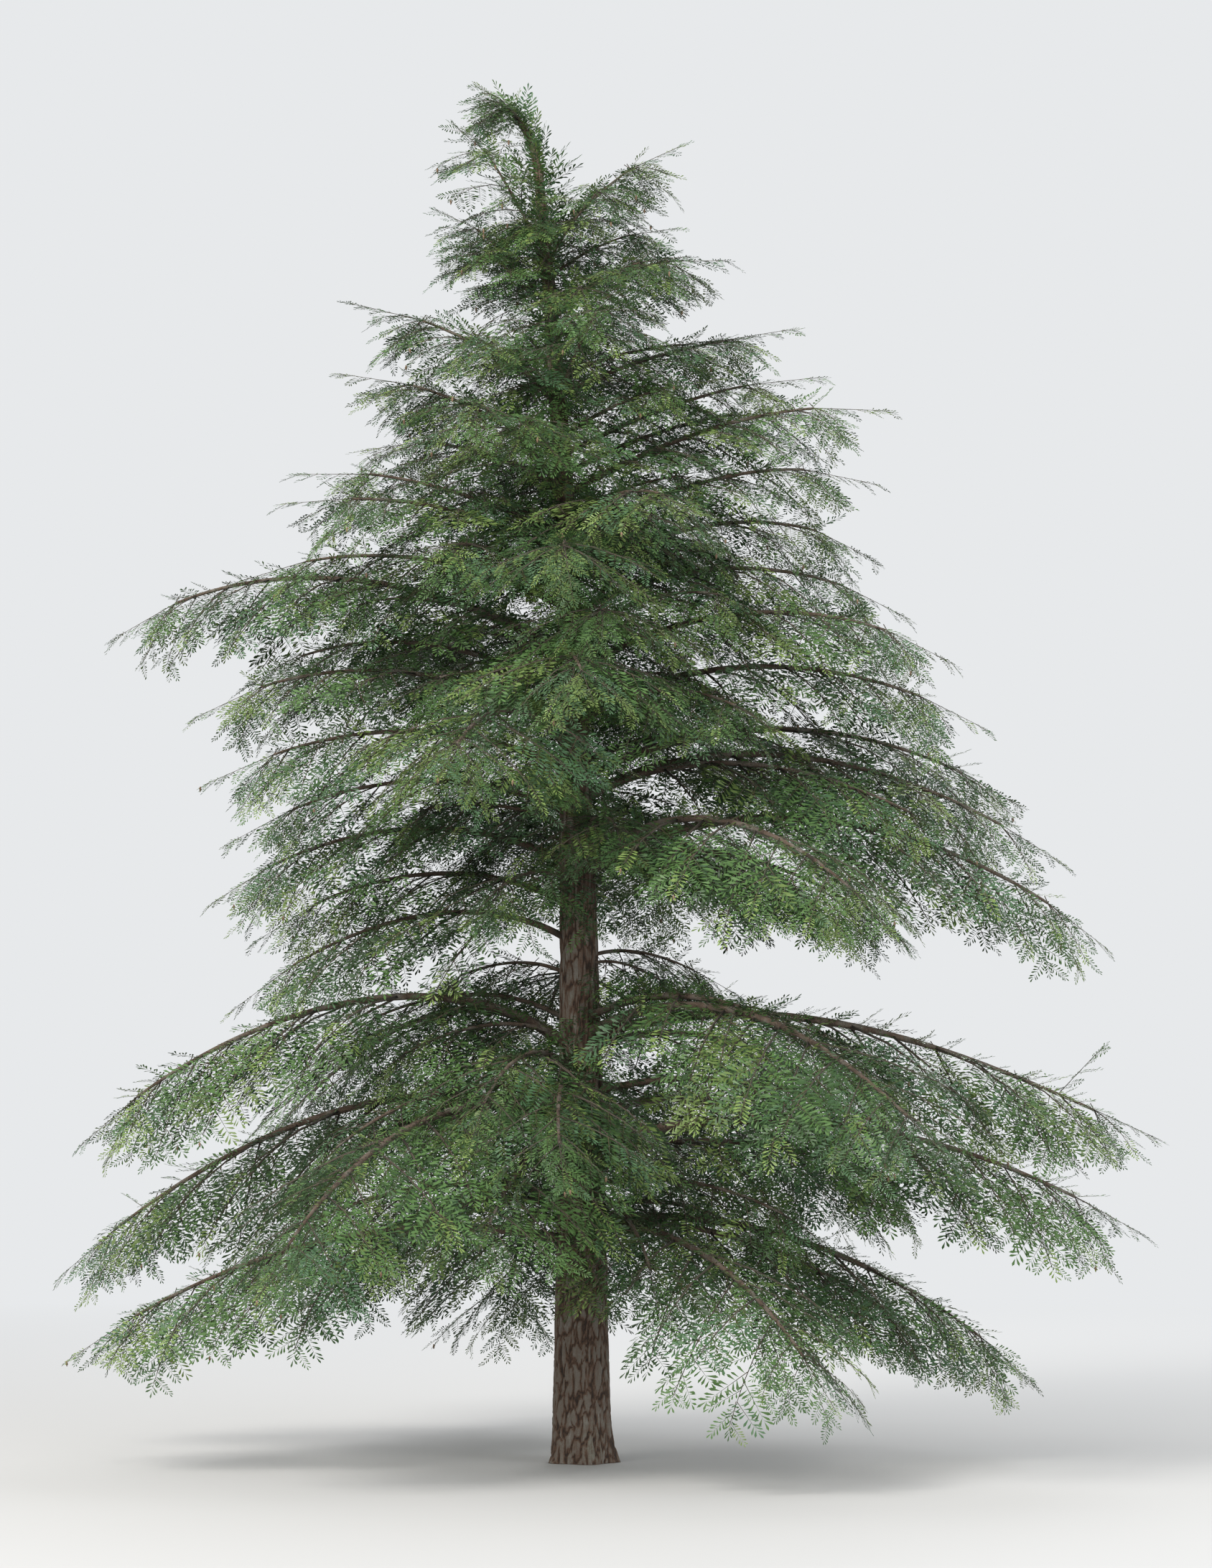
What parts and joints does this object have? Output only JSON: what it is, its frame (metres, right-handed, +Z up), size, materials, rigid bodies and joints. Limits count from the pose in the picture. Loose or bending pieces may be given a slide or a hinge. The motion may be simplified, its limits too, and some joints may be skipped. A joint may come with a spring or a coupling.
{
  "type": "eastern hemlock tree",
  "caption": "Open-grown eastern hemlock with a tapering trunk that flares at the ground, arching main boughs and drooping sprays of short flat needles.",
  "frame": {"origin": "centre of the flat cut under the trunk, at ground level", "axes": "+Z up the trunk, +X towards the tree's right-hand side as drawn, -Y towards the viewer"},
  "size_m": [9.7667, 8.2948, 12],
  "materials": {
    "trunk_bark": "rough furrowed bark, grey-brown with cinnamon cracks",
    "bough_bark": "thin scaly bark, warm grey-brown",
    "foliage": "satin green needles, paler beneath"
  },
  "bodies": {
    "root": {"bough_1_back": "bough_bark", "bough_1_front_right": "bough_bark", "bough_1_left": "bough_bark", "bough_1_right": "bough_bark", "bough_2_back_right": "bough_bark", "bough_2_front_left": "bough_bark", "bough_2_left": "bough_bark", "bough_2_right": "bough_bark", "bough_3_back_left": "bough_bark", "bough_3_front_right": "bough_bark", "bough_3_left": "bough_bark", "bough_3_right": "bough_bark", "bough_4_back": "bough_bark", "bough_4_front_right": "bough_bark", "bough_4_left": "bough_bark", "bough_4_right": "bough_bark", "bough_5_front": "bough_bark", "bough_5_left": "bough_bark", "bough_5_right": "bough_bark", "bough_6_back": "bough_bark", "bough_6_left": "bough_bark", "bough_6_right": "bough_bark", "foliage_10_front_right": "foliage", "foliage_10_left": "foliage", "foliage_11_left": "foliage", "foliage_11_right": "foliage", "foliage_1_back": "foliage", "foliage_1_front_right": "foliage", "foliage_1_left": "foliage", "foliage_1_right": "foliage", "foliage_2_back_right": "foliage", "foliage_2_front_left": "foliage", "foliage_2_left": "foliage", "foliage_2_right": "foliage", "foliage_3_back_left": "foliage", "foliage_3_front_right": "foliage", "foliage_3_left": "foliage", "foliage_3_right": "foliage", "foliage_4_back": "foliage", "foliage_4_front_right": "foliage", "foliage_4_left": "foliage", "foliage_4_right": "foliage", "foliage_5_front": "foliage", "foliage_5_left": "foliage", "foliage_5_right": "foliage", "foliage_6_back": "foliage", "foliage_6_left": "foliage", "foliage_6_right": "foliage", "foliage_7_back": "foliage", "foliage_7_front": "foliage", "foliage_7_front_left": "foliage", "foliage_7_right": "foliage", "foliage_8_back_left": "foliage", "foliage_8_front_left": "foliage", "foliage_8_right": "foliage", "foliage_9_front": "foliage", "foliage_9_left": "foliage", "foliage_9_right": "foliage", "foliage_leader": "foliage", "trunk": "trunk_bark"}
  },
  "joints": []
}
